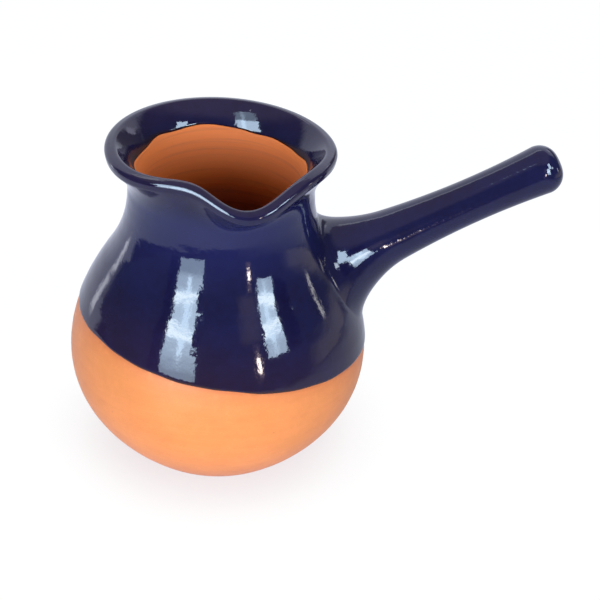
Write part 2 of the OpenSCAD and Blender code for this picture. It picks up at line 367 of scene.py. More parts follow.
class PotForm:
    """Skin of the body and of the handle, in metres, as the sizes in the panel give it."""

    def __init__(self, scene):
        body = self.body = scene.pot_body
        lip = self.lip = scene.pot_lip
        self.handle = scene.pot_handle
        glaze = self.glaze = scene.pot_glaze
        self.bead = lip.lip_t / 2
        self.lip_z = body.height - glaze.glaze_t - self.bead - glaze.keep_in
        self.lip_r = lip.rim_d / 2 - self.bead
        self.flare = self.lip_r + self.bead * math.cos(lip.rim_lean) - body.neck_d / 2
        lean = -math.tan(body.shoulder_lean)
        self.outer = [
            (0.0, body.foot_d / 2, math.tan(body.foot_lean)),
            (body.belly_z, body.belly_d / 2, 0.0),
            (body.shoulder_z, body.shoulder_d / 2, lean),
            (body.neck_z, body.neck_d / 2, 0.0),
        ]
        self.inner = [
            (body.floor_t, body.floor_d / 2, math.tan(body.floor_lean)),
            (body.belly_z, body.belly_d / 2 - body.wall_t, 0.0),
            (body.shoulder_z, body.shoulder_d / 2 - body.wall_t, lean),
            (body.neck_z, body.neck_d / 2 - body.wall_t, 0.0),
        ]
        self.foot_z = body.foot_edge * math.cos(body.foot_lean)
        tilt = self.handle.handle_tilt
        self.axis = np.array([math.cos(tilt), 0.0, math.sin(tilt)])
        self.root_r = self.handle.root_d / 2
        self.wall_s = float(self.seat(np.zeros(1), 0.0, 0.0)[0])
        self.end_s = self.wall_s + self.handle.handle_len - glaze.keep_in
        self.round_s = self.end_s - self.handle.end_round

    def dip_at(self, a):
        """Height of the dip line at an angle."""
        glaze = self.glaze
        edge = glaze.dip_z - glaze.dip_fall * np.cos(a - glaze.dip_turn)
        return edge + glaze.edge_ripple * ripple(a, DIP_WAVES)

    def band_at(self, a):
        """Height of the blue glaze's edge inside, at an angle."""
        glaze = self.glaze
        edge = glaze.band_z + glaze.band_wave * np.cos(a - glaze.band_turn)
        edge = edge - BAND_TILT * self.lip.lip_tilt * np.cos(a)
        edge = edge + glaze.edge_ripple * ripple(a, BAND_WAVES)
        for turn, half, rise in BAND_RUNS:
            p = way_round(a, math.radians(turn))
            edge = edge + rise * MILLIMETRE * bell(p / math.radians(half))
        return edge

    def lip_at(self, a):
        """Radius and height of the lip's middle and the wall's lean into it, with the spout pulled out."""
        lip = self.lip
        p = way_round(a, lip.spout_turn)
        tip = bell(p / lip.spout_half)
        far = bell((p + lip.far_pinch_turn) / lip.pinch_half)
        near = bell((p - lip.near_pinch_turn) / lip.pinch_half)
        out = lip.spout_reach * tip - lip.far_pinch * far - lip.near_pinch * near
        rise = lip.pinch_rise * (far + near) - lip.spout_drop * tip - lip.lip_tilt * np.cos(a)
        lean = np.arctan(math.tan(lip.rim_lean) * np.clip(1 + out / self.flare, *LEAN_SHARES))
        return self.lip_r + out, self.lip_z + rise, lean

    def wall(self, stations, side, a, z):
        """Radius of the wall at height z, outside with side 1 and inside with side -1."""
        lip_r, lip_z, lean = self.lip_at(a)
        end = lip_z - side * self.bead * np.sin(lean), lip_r + side * self.bead * np.cos(lean), np.tan(lean)
        return np.where(z > self.body.neck_z, bend(stations[-1], end, z), along(stations, z))

    def uneven(self, a, z, depth):
        """Small shift inwards from hands and wheel: throwing rings, and a wall a little out of round."""
        body = self.body
        wound = TURN * z / body.ring_pitch + a + RING_WANDER * np.sin(RING_WAVES * a)
        rings = 0.5 - 0.5 * np.cos(wound)
        sway = 0.5
        for number, shift, twist in SWAY_WAVES:
            sway = sway + 0.25 * np.sin(number * a + shift + twist * z)
        return -depth * rings - body.sway * sway - self.glaze.keep_in

    def section(self, v, a):
        """Radius, height and ring depth on a row of the pot."""
        body = self.body
        lip_r, lip_z, lean = self.lip_at(a)
        if v <= DIP:
            z = mix(self.foot_z, self.dip_at(a), v - FOOT)
            return along(self.outer, z), z, body.ring_depth
        if v <= LIP_OUT:
            z = mix(self.dip_at(a), lip_z - self.bead * np.sin(lean), v - DIP)
            return self.wall(self.outer, 1, a, z), z, body.ring_depth
        if v <= LIP_IN:
            turn = math.pi * (v - LIP_OUT) - lean
            blend = float(smooth((v - LIP_OUT) / LIP_FADE) * smooth((LIP_IN - v) / LIP_FADE))
            square = blend * np.cos(CORNERS * (turn - self.lip.edge_turn))
            reach = self.bead * (1 + self.lip.lip_edge * square)
            return lip_r + reach * np.cos(turn), lip_z + reach * np.sin(turn), 0.0
        if v <= BAND:
            z = mix(lip_z + self.bead * np.sin(lean), self.band_at(a), v - LIP_IN)
            return self.wall(self.inner, -1, a, z), z, 0.0
        z = mix(self.band_at(a), body.floor_t, math.sin(math.pi / 2 * (v - BAND)))
        return self.wall(self.inner, -1, a, z), z, -body.ring_depth_in * (v - BAND)

    def skin(self, v, a):
        """Points of the body's skin on a row, at some angles."""
        r, z, depth = self.section(v, a)
        settle = smooth((self.lip_z - z) / (self.lip_z - self.body.neck_z))
        r = r + settle * self.uneven(a, z, depth)
        return np.stack([r * np.cos(a), r * np.sin(a), z], axis=-1)

    def skin_over(self, v, a, thickness):
        """Points a thickness above the body's skin."""
        return lifted(self.skin, v, (FOOT, FLOOR), a, thickness)

    def beside(self, s, b, r):
        """Points beside the handle's axis: way along it, angle round it, distance from it."""
        tilt = self.handle.handle_tilt
        lift = r * np.cos(b)
        return np.stack([
            s * math.cos(tilt) - lift * math.sin(tilt),
            -r * np.sin(b),
            self.handle.handle_z + s * math.sin(tilt) + lift * math.cos(tilt),
        ], axis=-1)

    def from_axis(self, points):
        """Way along the handle's axis and distance from it."""
        spread = points - np.array([0.0, 0.0, self.handle.handle_z])
        s = spread @ self.axis
        return s, np.linalg.norm(spread - s[:, None] * self.axis, axis=1)

    def seat(self, b, r, layer, shown=False):
        """Way along the axis at which lines beside it leave the belly wall, or a layer on it.

        The shown wall has the marks of hands and wheel too.
        """
        low = np.zeros_like(b)
        high = np.full_like(b, self.body.belly_d)
        for _ in range(HALVINGS):
            s = (low + high) / 2
            q = self.beside(s, b, r)
            wall = along(self.outer, q[:, 2]) + layer
            if shown:
                wall = wall + self.uneven(np.arctan2(q[:, 1], q[:, 0]), q[:, 2], self.body.ring_depth)
            inside = np.hypot(q[:, 0], q[:, 1]) < wall
            low = np.where(inside, s, low)
            high = np.where(inside, high, s)
        return (low + high) / 2

    def root_at(self, b):
        """Distance from the axis to the root's edge, at an angle round the handle."""
        return self.root_r - self.handle.root_sink * (1 + np.cos(b)) / 2

    def shaft(self, s):
        """Radius of the handle's shaft, which has a waist."""
        handle = self.handle
        way = (s - self.wall_s - handle.waist_at) / (handle.handle_len - handle.waist_at)
        return handle.waist_d / 2 + (handle.end_d - handle.waist_d) / 2 * way ** 2

    def handle_r(self, s, start, b):
        """Radius of the handle: the shaft, and a flare that opens on to the wall."""
        flare = np.maximum(0.0, 1 - (s - start) / self.handle.flare_len) ** 2
        return self.shaft(s) + (self.root_at(b) - self.shaft(start)) * flare

    def handle_skin(self, w, b):
        """Points of the handle's skin: w runs from 0 at the root to 1 at the rounding and 2 at the end."""
        if w <= 1:
            start = self.seat(b, self.root_at(b), self.handle.slip_t)
            s = mix(start, self.round_s, w ** CROWDING)
            return self.beside(s, b, self.handle_r(s, start, b))
        turn = math.pi / 2 * (w - 1)
        end_round = self.handle.end_round
        s = np.full_like(b, self.round_s + end_round * math.sin(turn))
        return self.beside(s, b, self.shaft(self.round_s) - end_round * (1 - math.cos(turn)))

    def handle_over(self, w, b, thickness):
        """Points a thickness above the handle's skin."""
        if w >= 2:
            return self.handle_skin(w, b) + thickness * self.axis
        return lifted(self.handle_skin, w, (0, 2), b, thickness)

    def bore(self, share, b):
        """Points of the hollow in the handle, from its closed end at 0 to the root at 1."""
        handle = self.handle
        start = self.seat(b, self.root_at(b), handle.slip_t)
        inside = self.seat(b, self.root_at(b) - handle.handle_wall, handle.slip_t)
        s = mix(inside, self.end_s - handle.end_wall, (1 - share) ** CROWDING)
        return self.beside(s, b, self.handle_r(s - inside + start, start, b) - handle.handle_wall)


# Meshes

def steps(first, last, number, ends=True):
    """Evenly spaced values from the first to the last."""
    return [float(x) for x in np.linspace(first, last, number + 1)][: None if ends else -1]


def turns(sides):
    """Angles of a ring's corners, once round."""
    return np.linspace(0, TURN, sides, endpoint=False)


def point(x, y, z):
    """A ring that is drawn together to one point."""
    return np.array([[x, y, z]], dtype=float)


def middle_of(ring):
    """The middle of a ring, as a ring drawn together to one point."""
    return ring.mean(axis=0, keepdims=True)


def skin_rings(form, a, stretches):
    """Rings on stretches of the body's skin, without the last: first row, last row and number of steps."""
    return [form.skin(v, a) for stretch in stretches for v in steps(*stretch, ends=False)]


def loft_faces(rings, closed):
    """Faces between rings that follow each other, with triangles where a ring is one point."""
    starts = np.cumsum([0] + [len(ring) for ring in rings])
    pairs = [(k, k + 1) for k in range(len(rings) - 1)]
    if closed:
        pairs.append((len(rings) - 1, 0))
    faces = []
    for low, high in pairs:
        n = max(len(rings[low]), len(rings[high]))
        for j in range(n):
            k = (j + 1) % n
            a, b = (starts[low], None) if len(rings[low]) == 1 else (starts[low] + j, starts[low] + k)
            d, c = (starts[high], None) if len(rings[high]) == 1 else (starts[high] + j, starts[high] + k)
            faces.append([int(x) for x in (a, b, c, d) if x is not None])
    return faces


def add_mesh(name, points, faces):
    """A new object in the scene, with a mesh of those points and faces."""
    mesh = bpy.data.meshes.new(name)
    mesh.from_pydata(points, [], faces)
    made = bpy.data.objects.new(name, mesh)
    bpy.context.scene.collection.objects.link(made)
    return made


def loft(name, rings, closed=False):
    """Smooth closed mesh through rings, with its faces turned outwards."""
    points = np.concatenate(rings)
    faces = loft_faces(rings, closed)
    volume = 0.0
    for face in faces:
        corner = points[face]
        for k in range(1, len(face) - 1):
            volume += np.dot(corner[0], np.cross(corner[k], corner[k + 1]))
    if volume < 0:
        faces = [face[::-1] for face in faces]
    made = add_mesh(name, points.tolist(), faces)
    made.data.validate()
    made.data.shade_smooth()
    return made


def cut(piece, cutter):
    """Takes the cutter's shape out of a piece and drops the cutter."""
    modifier = piece.modifiers.new("cut", "BOOLEAN")
    modifier.operation = "DIFFERENCE"
    modifier.solver = "EXACT"
    modifier.object = cutter
    bpy.context.view_layer.update()
    shaped = bpy.data.meshes.new_from_object(piece.evaluated_get(bpy.context.evaluated_depsgraph_get()))
    if len(shaped.vertices) < len(piece.data.vertices) // 2:
        raise RuntimeError("the hole for the handle's root could not be cut")
    piece.modifiers.clear()
    piece.data = shaped
    piece.data.shade_smooth()
    bpy.data.objects.remove(cutter)


def finish_piece(piece, node, material):
    """Puts a piece on the pot's body in place of its solid."""
    piece.data.materials.clear()
    piece.data.materials.append(material)
    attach(piece, "root")
    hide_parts(node)


# Shader maths

class Wire:
    """A socket in a node tree. Sums and products of wires add Math nodes to the tree."""

    def __init__(self, tree, socket=None):
        self.tree = tree
        self.socket = socket

    def node(self, kind, settings=None, sockets=None, out=0):
        """Adds a node of that type, sets its settings, then the values or links of its sockets."""
        made = self.tree.nodes.new(kind)
        for name, value in (settings or {}).items():
            setattr(made, name, value)
        for name, value in (sockets or {}).items():
            if isinstance(value, Wire):
                self.tree.links.new(value.socket, made.inputs[name])
            else:
                made.inputs[name].default_value = value
        return Wire(self.tree, made.outputs[out] if made.outputs else None)

    def math(self, operation, first, second=0.0):
        """A Math node on two values."""
        return self.node("ShaderNodeMath", {"operation": operation}, {0: first, 1: second})

    def __add__(self, other):
        return self.math("ADD", self, other)

    __radd__ = __add__

    def __sub__(self, other):
        return self.math("SUBTRACT", self, other)

    def __rsub__(self, other):
        return self.math("SUBTRACT", other, self)

    def __mul__(self, other):
        return self.math("MULTIPLY", self, other)

    __rmul__ = __mul__

    def __truediv__(self, other):
        return self.math("DIVIDE", self, other)

    def __rtruediv__(self, other):
        return self.math("DIVIDE", other, self)

    def __pow__(self, other):
        return self.math("POWER", self, other)

    def __rpow__(self, other):
        return self.math("POWER", other, self)

    def top(self, other):
        """The larger of two values."""
        return self.math("MAXIMUM", self, other)

    def step(self, start, end, most=1.0):
        """Soft step from 0 where this value is at the start to the most where it is at the end."""
        return self.node(
            "ShaderNodeMapRange", {"interpolation_type": "SMOOTHSTEP"},
            {"Value": self, "From Min": start, "From Max": end, "To Max": most},
        )

    def tint(self, first, second):
        """Colour between two, by this value."""
        return self.node("ShaderNodeMix", {"data_type": "RGBA"}, {0: self, 6: first, 7: second}, out=2)

    def blend(self, first, second):
        """Shader between two, by this value."""
        return self.node("ShaderNodeMixShader", sockets={0: self, 1: first, 2: second})

    def glow(self, strength=1.0):
        """Shader that gives off this colour."""
        return self.node("ShaderNodeEmission", sockets={"Color": self, "Strength": strength})

    def place(self):
        """Place on the piece, in metres."""
        return self.node("ShaderNodeTexCoord", out="Object")

    def parts(self):
        """The three numbers of this vector."""
        split = self.node("ShaderNodeSeparateXYZ", sockets={0: self})
        return [Wire(self.tree, s) for s in split.socket.node.outputs]

    def stretch(self, x, y, z):
        """This vector with each of its numbers scaled."""
        return self.node("ShaderNodeVectorMath", {"operation": "MULTIPLY"}, {0: self, 1: (x, y, z)})

    def noise(self, scale, detail=2.0, rough=0.5):
        """Cloudy value around 0.5 over this place."""
        sockets = {"Vector": self, "Scale": scale, "Detail": detail, "Roughness": rough}
        return self.node("ShaderNodeTexNoise", sockets=sockets)

    def spots(self, scale, share):
        """Distance to the nearest of some scattered points, and 1 at the share of them that counts."""
        cells = self.node("ShaderNodeTexVoronoi", sockets={"Vector": self, "Scale": scale})
        chance = Wire(self.tree, cells.socket.node.outputs["Color"]).parts()[0]
        return cells, chance.math("LESS_THAN", chance, share)


def hump(wire, middle, half):
    """Smooth hump that is 1 where the value is at its middle."""
    off = (wire - middle) / half
    return wire.math("EXPONENT", -1.0 * (off * off))


def start_material(name):
    """A new material and a wire to build its nodes from."""
    material = bpy.data.materials.new(name)
    material.use_nodes = True
    material.node_tree.nodes.clear()
    return material, Wire(material.node_tree)


def surface(wire, shader):
    """Sends a shader to the material's output."""
    wire.node("ShaderNodeOutputMaterial", sockets={"Surface": shader})


def relief(wire, height_mm):
    """Normal of a surface with that height, in millimetres."""
    sockets = {"Strength": 1.0, "Distance": MILLIMETRE, "Height": height_mm}
    return wire.node("ShaderNodeBump", sockets=sockets, out="Normal")


def glossy_surface(wire, base, roughness, height_mm, ior):
    """Principled surface that ends a material, with its relief in millimetres."""
    surface(wire, wire.node("ShaderNodeBsdfPrincipled", sockets={
        "Base Color": base, "Roughness": roughness, "Normal": relief(wire, height_mm), "IOR": ior,
    }))


def specks(place, scale, share, sizes):
    """1 on a share of some scattered specks, which fade out from the first size to the second."""
    near, chosen = place.spots(scale, share)
    inner, outer = sizes
    return near.step(outer, inner) * chosen


def above_dip(glaze, place):
    """Height over the dip line in millimetres, at a place on the pot."""
    x, y, z = place.parts()
    toward = x * math.cos(glaze.dip_turn) + y * math.sin(glaze.dip_turn)
    out = (x * x + y * y) ** 0.5
    return (z - glaze.dip_z + glaze.dip_fall * (toward / out)) / MILLIMETRE


def above_band(scene, place):
    """Height over the glaze's edge inside the pot in millimetres, at a place on the pot."""
    glaze = scene.pot_glaze
    x, y, z = place.parts()
    turn = place.math("ARCTAN2", y, x)
    edge = glaze.band_z + glaze.band_wave * place.math("COSINE", turn - glaze.band_turn)
    edge = edge - BAND_TILT * scene.pot_lip.lip_tilt * place.math("COSINE", turn)
    for way, half, rise in BAND_RUNS:
        edge = edge + rise * MILLIMETRE * hump(turn, math.radians(way), math.radians(half))
    return (z - edge) / MILLIMETRE


def faces_in(wire, place):
    """1 where the surface faces the pot's axis, 0 where it faces away."""
    x, y, _ = place.parts()
    nx, ny, _ = wire.node("ShaderNodeNewGeometry", out="Normal").parts()
    return (-1.0 * (nx * x + ny * y) / ((x * x + y * y) ** 0.5)).step(0.1, 0.3)


def bare_clay(scene):
    """Fired clay with fine grain, wiped bands, a few iron specks, and a darker edge under the glaze."""
    found = bpy.data.materials.get("fired_clay")
    if found:
        return found
    colours = scene.pot_colours
    material, wire = start_material("fired_clay")
    place = wire.place()
    grain = place.noise(scale=2600, detail=3, rough=0.6)
    cloud = place.noise(scale=55, detail=3, rough=0.55)
    band = place.stretch(22, 22, 420).noise(scale=1.0, detail=3, rough=0.6)
    scratch = place.stretch(60, 60, 1800).noise(scale=1.0, detail=2, rough=0.6)
    wiped = (0.75 * cloud + 0.45 * band - 0.1).step(0.2, 0.85)
    base = wiped.tint(colours.clay, colours.clay_pale)
    below = above_dip(scene.pot_glaze, place)
    soaked = below.step(-7, 0.2, most=0.42) + below.step(-1.3, -0.1, most=0.5)
    base = soaked.tint(base, colours.clay_dark)
    speck = 0.5 * specks(place, scale=330, share=SPECK_SHARE, sizes=SPECK_SIZES)
    base = speck.tint(base, colours.clay_speck)
    base = grain.step(0.3, 0.75, most=0.22).tint(base, colours.clay_dark)
    blotch = place.noise(scale=230, detail=4, rough=0.65)
    base = blotch.step(0.5, 0.72, most=0.18).tint(base, colours.clay_dark)
    base = (1 - blotch).step(0.52, 0.75, most=0.5).tint(base, colours.clay_pale)
    lumps = place.noise(scale=420, detail=2)
    height_mm = 0.035 * grain + 0.02 * band + 0.02 * scratch + 0.06 * lumps - 0.05 * speck
    glossy_surface(wire, base, mix(*CLAY_ROUGH, grain), height_mm, CLAY_IOR)
    return material


def joining_slip(scene):
    """Clay slip, smeared round the root."""
    material, wire = start_material("joining_slip")
    place = wire.place()
    smear = place.noise(scale=180, detail=4, rough=0.6)
    base = smear.tint(scene.pot_colours.slip, scene.pot_colours.clay)
    glossy_surface(wire, base, mix(*SLIP_ROUGH, smear), 0.15 * smear, CLAY_IOR)
    return material


def blue_glaze(scene, name, edged):
    """Glossy cobalt glaze: uneven depth, faint waves, orange peel, a few pinholes, brown at its edges."""
    colours = scene.pot_colours
    material, wire = start_material(name)
    place = wire.place()
    cloud = place.noise(scale=48, detail=3, rough=0.55)
    mottle = place.noise(scale=420, detail=3, rough=0.6)
    base = (0.7 * cloud + 0.3 * mottle).step(0.32, 0.72).tint(colours.navy_deep, colours.navy)
    rough = mix(*GLAZE_ROUGH, mottle)
    if edged:
        body = scene.pot_body
        x, y, z = place.parts()
        # Painted light: the glaze from the shoulder up over the neck is painted a lighter, bluer navy
        neck_lit = z.step(body.shoulder_z, body.neck_z) * (1 - z.step(body.neck_z, body.neck_z + NECK_LIT_OVER))
        base = (0.75 * neck_lit).tint(base, colours.navy_neck_lit)
        rubbed = z.step(body.neck_z + RUB_OVER, body.height) * cloud * 0.35
        base = rubbed.tint(base, colours.glaze_thin)
        over = above_dip(scene.pot_glaze, place) + 1.6 * (mottle - 0.5)
        thin = over.step(1.1, 0.1, most=0.8) + over.step(22, 0.5, most=0.28)
        base = thin.tint(base, colours.glaze_thin)
        over = above_band(scene, place) + 1.4 * (mottle - 0.5)
        back = y.step(*BACK_SIDE)
        reach = 3.4 - 2.9 * back + 1.6 * x.step(*LEFT_SIDE)
        run = (over / reach).step(1.0, 0.2) * faces_in(wire, place)
        base = (0.9 * run).tint(base, colours.glaze_edge)
        rough = rough + MATT * run * (1 - back)
    pinhole = specks(place, scale=150, share=PINHOLE_SHARE, sizes=PINHOLE_SIZES)
    base = (0.5 * pinhole).tint(base, colours.pinhole)
    waves = place.noise(scale=75, detail=2, rough=0.5)
    peel = place.noise(scale=900, detail=2, rough=0.5)
    swell = place.noise(scale=260, detail=2)
    height_mm = 0.11 * waves + 0.018 * peel + 0.05 * swell - 0.12 * pinhole
    glossy_surface(wire, base, rough, height_mm, GLAZE_IOR)
    return material


def clear_liner(scene):
    """Clay under a clear glaze: throwing lines, darker towards the floor, softly glossy."""
    colours = scene.pot_colours
    body = scene.pot_body
    material, wire = start_material("clear_liner")
    place = wire.place()
    z = place.parts()[2]
    cloud = place.noise(scale=60, detail=3, rough=0.6)
    lines = place.stretch(16, 16, 700).noise(scale=1.0, detail=3, rough=0.65)
    low = (z + LINER_CLOUD * cloud).step(body.neck_z, body.belly_z + DEEP_OVER)
    base = low.tint(colours.liner, colours.liner_deep)
    base = lines.step(0.45, 0.8, most=0.35).tint(base, colours.liner_deep)
    speck = 0.8 * specks(place, scale=240, share=SPECK_SHARE, sizes=SPECK_SIZES)
    base = speck.tint(base, colours.clay_speck)
    lumps = place.noise(scale=110, detail=2)
    grain = place.noise(scale=1500, detail=2)
    height_mm = 0.05 * lines + 0.06 * lumps + 0.006 * grain
    matt = z.step(body.shoulder_z + MATT_OVER, body.neck_z)
    rough = mix(*LINER_ROUGH, cloud) + MATT * matt
    glossy_surface(wire, base, rough, height_mm, CLAY_IOR)
    return material


# Pieces of the pot

class ThrowBody(bpy.types.Operator):
    """Throws the clay body: flat foot, belly, neck, rolled lip and pouring spout"""

    bl_idname = "claypot.throw_body"
    bl_label = "Throw the clay body"

    def execute(self, context):
        form = PotForm(context.scene)
        body = form.body
        a = turns(body.sides)
        circle = np.stack([np.cos(a), np.sin(a), np.zeros_like(a)], axis=-1)
        wall = form.skin(FOOT, a)
        flat = (body.foot_d / 2 - body.foot_edge) * circle
        corner = (body.foot_d / 2) * circle
        rings = [point(0, 0, 0)]
        rings += [flat * share for share in steps(0.12, 1, 8)]
        rings += [arc(flat, corner, wall, share) for share in steps(0.2, 0.8, 3)]
        outside = (FOOT, DIP, 34), (DIP, LIP_OUT, 44), (LIP_OUT, LIP_IN, 14)
        inside = (LIP_IN, BAND, 10), (BAND, FLOOR, 44)
        rings += skin_rings(form, a, outside + inside)
        floor = form.skin(FLOOR, a)
        middle = np.array([0.0, 0.0, body.floor_t])
        rings += [middle + (floor - middle) * share for share in [1.0] + steps(0.9, 0.1, 6)]
        rings.append(point(*middle))
        finish_piece(loft("pot_clay", rings), "clay_body", bare_clay(context.scene))
        return {"FINISHED"}


class ThrowHandle(bpy.types.Operator):
    """Throws the hollow handle, with a saddle at its root and a closed round end"""

    bl_idname = "claypot.throw_handle"
    bl_label = "Throw the clay handle"

    def execute(self, context):
        form = PotForm(context.scene)
        b = turns(form.handle.sides)
        rings = [middle_of(form.bore(0, b))]
        rings += [form.bore(share, b) for share in steps(0, 1, 24)]
        rings += [form.handle_skin(w, b) for w in steps(0, 1, 40)]
        rings += [form.handle_skin(w, b) for w in steps(1, 2, 8)[1:]]
        rings.append(middle_of(rings[-1]))
        finish_piece(loft("handle_clay", rings), "clay_handle", bare_clay(context.scene))
        return {"FINISHED"}


class SpreadSlip(bpy.types.Operator):
    """Spreads the ring of slip that joins the handle to the belly"""

    bl_idname = "claypot.spread_slip"
    bl_label = "Spread the joining slip"

    def execute(self, context):
        form = PotForm(context.scene)
        handle = form.handle
        b = turns(handle.sides)
        inward = steps(0, handle.handle_wall, 4)
        rings = []
        for layer, insets in ((0, reversed(inward)), (handle.slip_t, inward)):
            for r in (form.root_at(b) - inset for inset in insets):
                rings.append(form.beside(form.seat(b, r, layer), b, r))
        ring = loft("slip_ring", rings, closed=True)
        finish_piece(ring, "luting_slip", joining_slip(context.scene))
        return {"FINISHED"}


def rolled(distance, roll, thickness):
    """Thickness of a glaze coat at a distance from its rounded edge."""
    share = min(max(distance / roll, 0.0), 1.0)
    return thickness * math.sqrt(1 - (1 - share) ** 2)


class DipBody(bpy.types.Operator):
    """Dips the body in blue glaze, from the dip line over the lip to a band inside"""

    bl_idname = "claypot.dip_body"
    bl_label = "Dip the body in blue glaze"

    # Cutter's ends as shares of the way to the wall, and rows on the rounded edge as shares of it
    cutter_ends = 0.55, 1.45
    edge_shares = 0.04, 0.13, 0.27, 0.46, 0.7, 1.0

    def execute(self, context):
        form = PotForm(context.scene)
        glaze = form.glaze
        a = turns(form.body.sides)
        rise = (form.lip_z - glaze.dip_z) / math.cos(form.body.shoulder_lean / 2)
        drop = (form.lip_z + form.bead - glaze.band_z) / math.cos(form.lip.rim_lean / 2)
        edge = [glaze.edge_roll * x for x in self.edge_shares]
        low = [(DIP + d / rise, rolled(d, glaze.edge_roll, glaze.glaze_t)) for d in edge]
        high = [(BAND - d / drop, rolled(d, glaze.edge_roll, glaze.glaze_t)) for d in reversed(edge)]
        full = steps(low[-1][0], LIP_OUT, 52)[1:] + steps(LIP_OUT, LIP_IN, 20)[1:]
        full += steps(LIP_IN, high[0][0], 10)[1:-1]
        rows = low + [(v, glaze.glaze_t) for v in full] + high
        rings = skin_rings(form, a, ((BAND, LIP_IN, 4), (LIP_IN, LIP_OUT, 10), (LIP_OUT, DIP, 26)))
        rings.append(form.skin(DIP, a))
        rings += [form.skin_over(v, a, t) for v, t in rows]
        coat = loft("blue_coat", rings, closed=True)
        cut(coat, self.root_cutter(form))
        finish_piece(coat, "body_glaze", blue_glaze(context.scene, "cobalt_dip", True))
        return {"FINISHED"}

    def root_cutter(self, form):
        """Bar along the handle's axis, as wide as its glazed root."""
        b = turns(form.handle.sides)
        r = form.root_at(b) + form.glaze.glaze_t
        low, high = [form.beside(np.full_like(b, form.wall_s * share), b, r) for share in self.cutter_ends]
        return loft("root_cutter", [middle_of(low), low, high, middle_of(high)])


class DipHandle(bpy.types.Operator):
    """Dips the handle in blue glaze, which pools where the root meets the belly"""

    bl_idname = "claypot.dip_handle"
    bl_label = "Dip the handle in blue glaze"

    # Share of the coat by which the pool sinks into the body's
    sink_share = 0.1

    # Shares of the pool's width by which it runs up the root, and by which its heel lies in from its toe
    join_share = 1.3
    heel_share = 0.3

    # Shares of the way over the pool at which it has rows, closer together at its toe
    pool_shares = [0.0, 0.01, 0.04] + steps(1 / 12, 1, 11, ends=False)

    def execute(self, context):
        form = PotForm(context.scene)
        handle = form.handle
        t = form.glaze.glaze_t
        b = turns(handle.sides)
        pool = mix(handle.pool_side, handle.pool_top, np.cos(b) ** 2)
        sunk = self.sink_share * t
        root = form.root_at(b)
        crease_r = root + t
        crease_s = form.seat(b, crease_r, t + pool ** 2 / form.body.belly_d, True)
        toe_r = crease_r + pool
        toe_s = form.seat(b, toe_r, t - sunk, True)
        start = form.seat(b, root, handle.slip_t)
        first = float(np.max((self.join_share * pool / (form.round_s - start)) ** (1 / CROWDING)))
        join_s, join_r = form.from_axis(form.handle_over(first, b, t))
        rings = [middle_of(form.handle_skin(2, b))]
        rings += [form.handle_skin(w, b) for w in steps(2, 1, 5)]
        rings += [form.handle_skin(w, b) for w in steps(1, 0, 24)[1:]]
        rings.append(form.beside(form.seat(b, root, 0), b, root))
        rings.append(form.beside(form.seat(b, crease_r, 0), b, crease_r))
        for r in (crease_r, toe_r - self.heel_share * pool):
            rings.append(form.beside(form.seat(b, r, t - 2 * sunk, True), b, r))
        for share in self.pool_shares:
            s = arc(toe_s, crease_s, join_s, share)
            rings.append(form.beside(s, b, arc(toe_r, crease_r, join_r, share)))
        rings += [form.handle_over(w, b, t) for w in steps(first, 1, 52)]
        rings += [form.handle_over(w, b, t) for w in steps(1, 2, 14)[1:]]
        rings.append(middle_of(rings[-1]))
        coat = loft("blue_handle_coat", rings)
        finish_piece(coat, "handle_glaze", blue_glaze(context.scene, "cobalt_handle", False))
        return {"FINISHED"}


class PourLiner(bpy.types.Operator):
    """Pours the clear glaze that lines the pot below the blue band"""

    bl_idname = "claypot.pour_liner"
    bl_label = "Pour the clear liner"

    # Rows on the rounded edge, as shares of its width
    edge_shares = 0.1, 0.4, 1.0

    def execute(self, context):
        form = PotForm(context.scene)
        glaze = form.glaze
        body = form.body
        a = turns(body.sides)
        depth = glaze.band_z - body.floor_t
        roll = glaze.edge_roll / 2
        edge = [roll * x for x in self.edge_shares]
        low = [(BAND + d / depth, rolled(d, roll, glaze.liner_t)) for d in edge]
        rows = low + [(v, glaze.liner_t) for v in steps(low[-1][0], FLOOR, 56)[1:]]
        under = np.array([0.0, 0.0, body.floor_t])
        over = under + np.array([0.0, 0.0, glaze.liner_t])
        floor = form.skin(FLOOR, a)
        top = form.skin_over(FLOOR, a, glaze.liner_t)
        rings = [point(*under)]
        rings += [under + (floor - under) * share for share in steps(0.25, 0.75, 2)]
        rings += [form.skin(v, a) for v in steps(FLOOR, BAND, 24)]
        rings += [form.skin_over(v, a, t) for v, t in rows]
        rings += [over + (top - over) * share for share in steps(0.9, 0.1, 6)]
        rings.append(point(*over))
        finish_piece(loft("clear_liner", rings), "liner_glaze", clear_liner(context.scene))
        return {"FINISHED"}


# Stage

def toward(azimuth, elevation):
    """Way out from the pot at an azimuth and an elevation in degrees, where 0 is the spout's side."""
    az, el = math.radians(azimuth), math.radians(elevation)
    return np.array([math.sin(az) * math.cos(el), -math.cos(az) * math.cos(el), math.sin(el)])


def facing(azimuth, elevation, place):
    """Matrix of a camera or lamp at a place, turned to look back along that way."""
    back = toward(azimuth, elevation)
    right = toward(azimuth + 90, 0)
    up = np.cross(back, right)
    rows = [[right[k], up[k], back[k], place[k]] for k in range(3)]
    return Matrix(rows + [[0.0, 0.0, 0.0, 1.0]])


